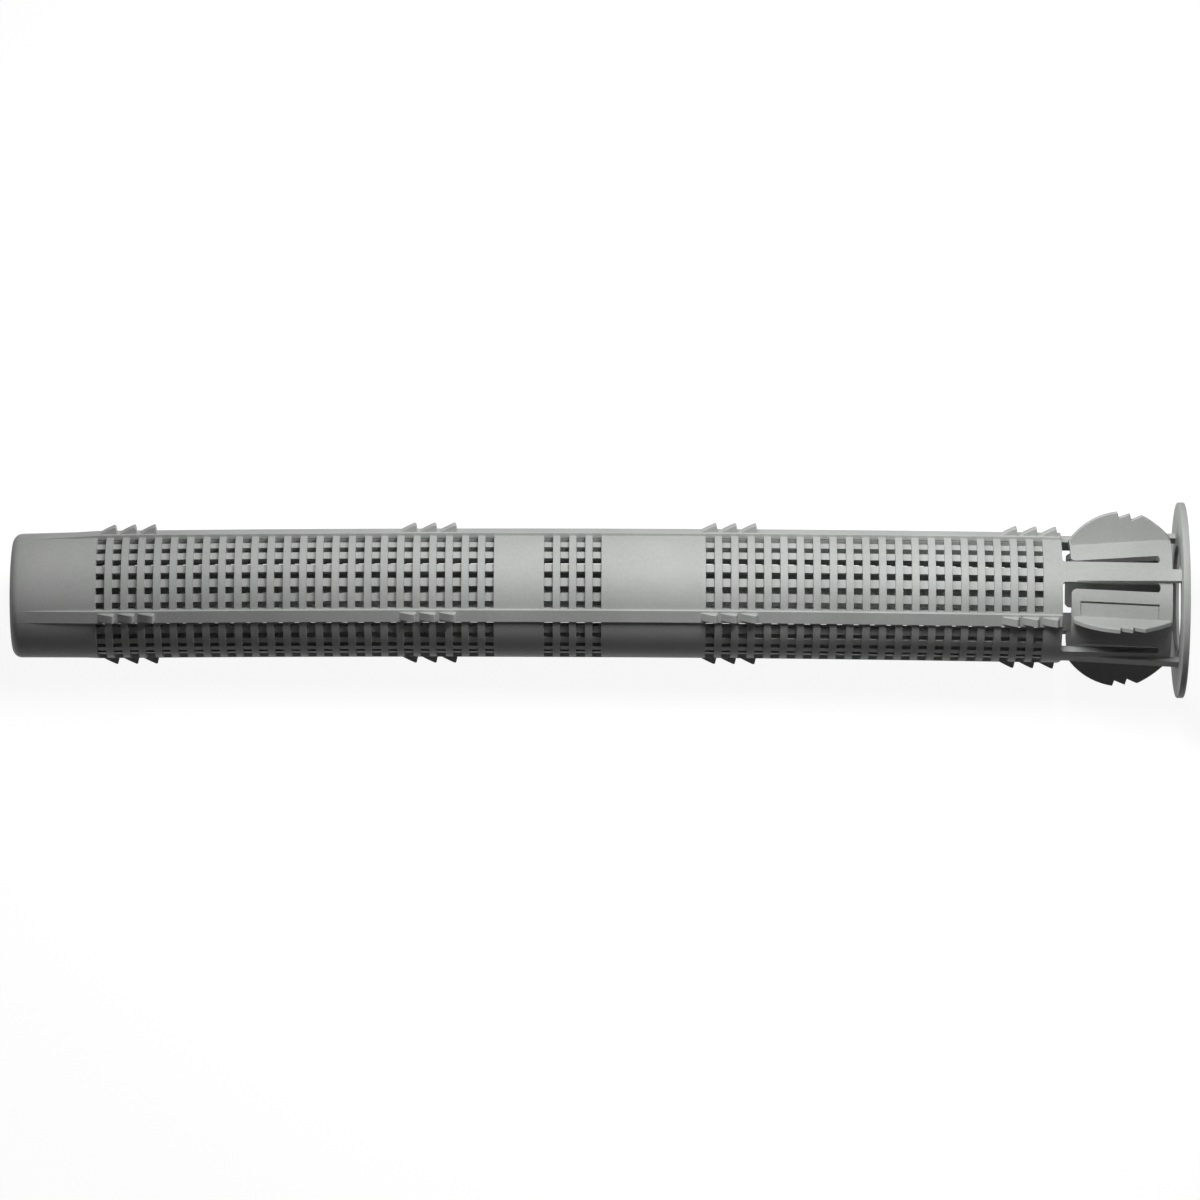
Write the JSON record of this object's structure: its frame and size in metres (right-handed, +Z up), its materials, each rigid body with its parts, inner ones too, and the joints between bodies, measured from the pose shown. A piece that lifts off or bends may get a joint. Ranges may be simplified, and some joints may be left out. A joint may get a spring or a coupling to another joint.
{
  "type": "injection mesh sleeve",
  "caption": "Closed-tip plastic mesh tube with barbed ribs, saw-toothed spreading tongues behind its mouth and a thin stop flange; it holds mortar and a threaded rod in hollow masonry.",
  "frame": {"origin": "middle of the underside of the whole sleeve's box, on the surface it lies on", "axes": "+X along the sleeve from its closed tip to its flange, +Z up; the sleeve's own axis rises 1.8 degrees towards the flange, because it lies on the flange's rim and on its tip"},
  "size_m": [0.1304, 0.0218, 0.0218],
  "materials": {
    "grey_plastic": "dull light grey polyamide, as it leaves a spark-eroded mould"
  },
  "bodies": {
    "root": {"mesh_sleeve": "grey_plastic"}
  },
  "joints": []
}
